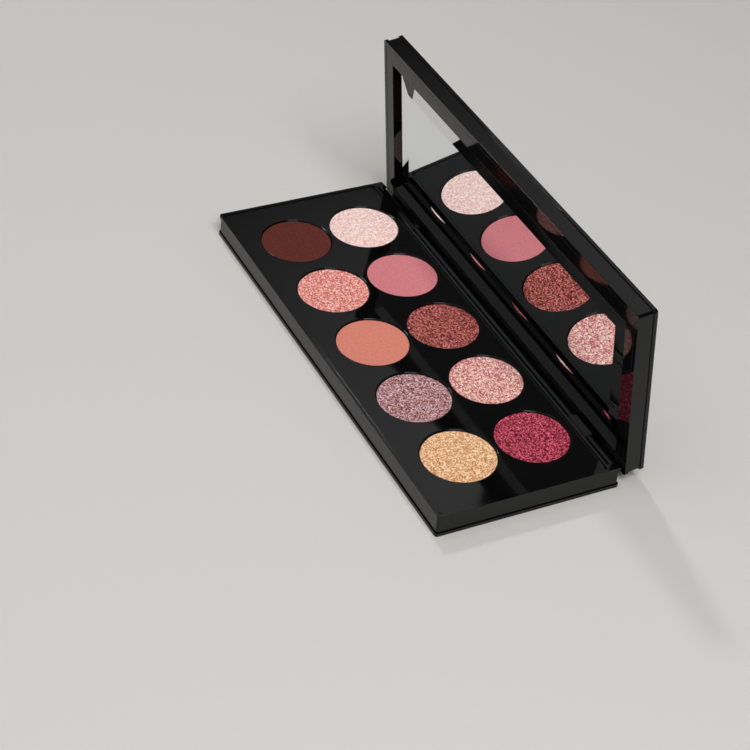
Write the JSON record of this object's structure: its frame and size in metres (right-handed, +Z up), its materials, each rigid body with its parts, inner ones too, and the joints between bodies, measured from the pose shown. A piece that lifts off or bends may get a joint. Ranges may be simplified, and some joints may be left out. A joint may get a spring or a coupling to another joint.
{
  "type": "eyeshadow palette",
  "caption": "Flat hinged makeup palette: a glossy black tray of round pressed-powder pans in two rows, under a lid with a bevelled mirror.",
  "frame": {"origin": "centre of the tray's flat underside", "axes": "+Z up, +Y from the front edge towards the hinge, +X along the hinge to the user's right; stored with the lid open"},
  "size_m": [0.182, 0.0801, 0.0755],
  "materials": {
    "lacquer": "high-gloss black lacquered plastic",
    "pin_steel": "drawn steel pin",
    "weight_steel": "plain sheet steel",
    "magnet": "nickel-plated magnet",
    "pan_tin": "drawn sheet metal with a dark coating",
    "glue": "soft adhesive",
    "label": "matte black paper, blank",
    "mirror_glass": "silvered bevelled glass",
    "tape": "adhesive tape",
    "gold": "polished gold plating",
    "powder_front_1": "matte dark brown pressed powder",
    "powder_front_2": "coral shimmer pressed powder",
    "powder_front_3": "matte terracotta pressed powder",
    "powder_front_4": "silvery mauve glitter pressed powder",
    "powder_front_5": "gold shimmer pressed powder",
    "powder_rear_1": "pale pink shimmer pressed powder",
    "powder_rear_2": "matte rose pressed powder",
    "powder_rear_3": "copper brown shimmer pressed powder",
    "powder_rear_4": "pink and cream glitter pressed powder",
    "powder_rear_5": "raspberry glitter pressed powder"
  },
  "bodies": {
    "base": {"base_shell": "lacquer", "weight_plate": "weight_steel", "deck": "lacquer", "pan_glue": "glue", "base_magnets": "magnet", "left_hinge_pin": "pin_steel", "right_hinge_pin": "pin_steel", "underside_label": "label", "pan_front_1": "pan_tin", "pan_front_2": "pan_tin", "pan_front_3": "pan_tin", "pan_front_4": "pan_tin", "pan_front_5": "pan_tin", "pan_rear_1": "pan_tin", "pan_rear_2": "pan_tin", "pan_rear_3": "pan_tin", "pan_rear_4": "pan_tin", "pan_rear_5": "pan_tin", "powder_front_1": "powder_front_1", "powder_front_2": "powder_front_2", "powder_front_3": "powder_front_3", "powder_front_4": "powder_front_4", "powder_front_5": "powder_front_5", "powder_rear_1": "powder_rear_1", "powder_rear_2": "powder_rear_2", "powder_rear_3": "powder_rear_3", "powder_rear_4": "powder_rear_4", "powder_rear_5": "powder_rear_5"},
    "lid": {"lid_shell": "lacquer", "lid_panel": "lacquer", "lid_plaque": "gold", "mirror_frame": "lacquer", "mirror": "mirror_glass", "mirror_tape": "tape", "lid_magnets": "magnet"}
  },
  "joints": [
    {"name": "lid_hinge", "type": "hinge", "parent": "base", "child": "lid", "pos_m": [0, 0.0335, 0.0057], "axis": [-1, 0, 0], "range_deg": [-83, 22]}
  ]
}
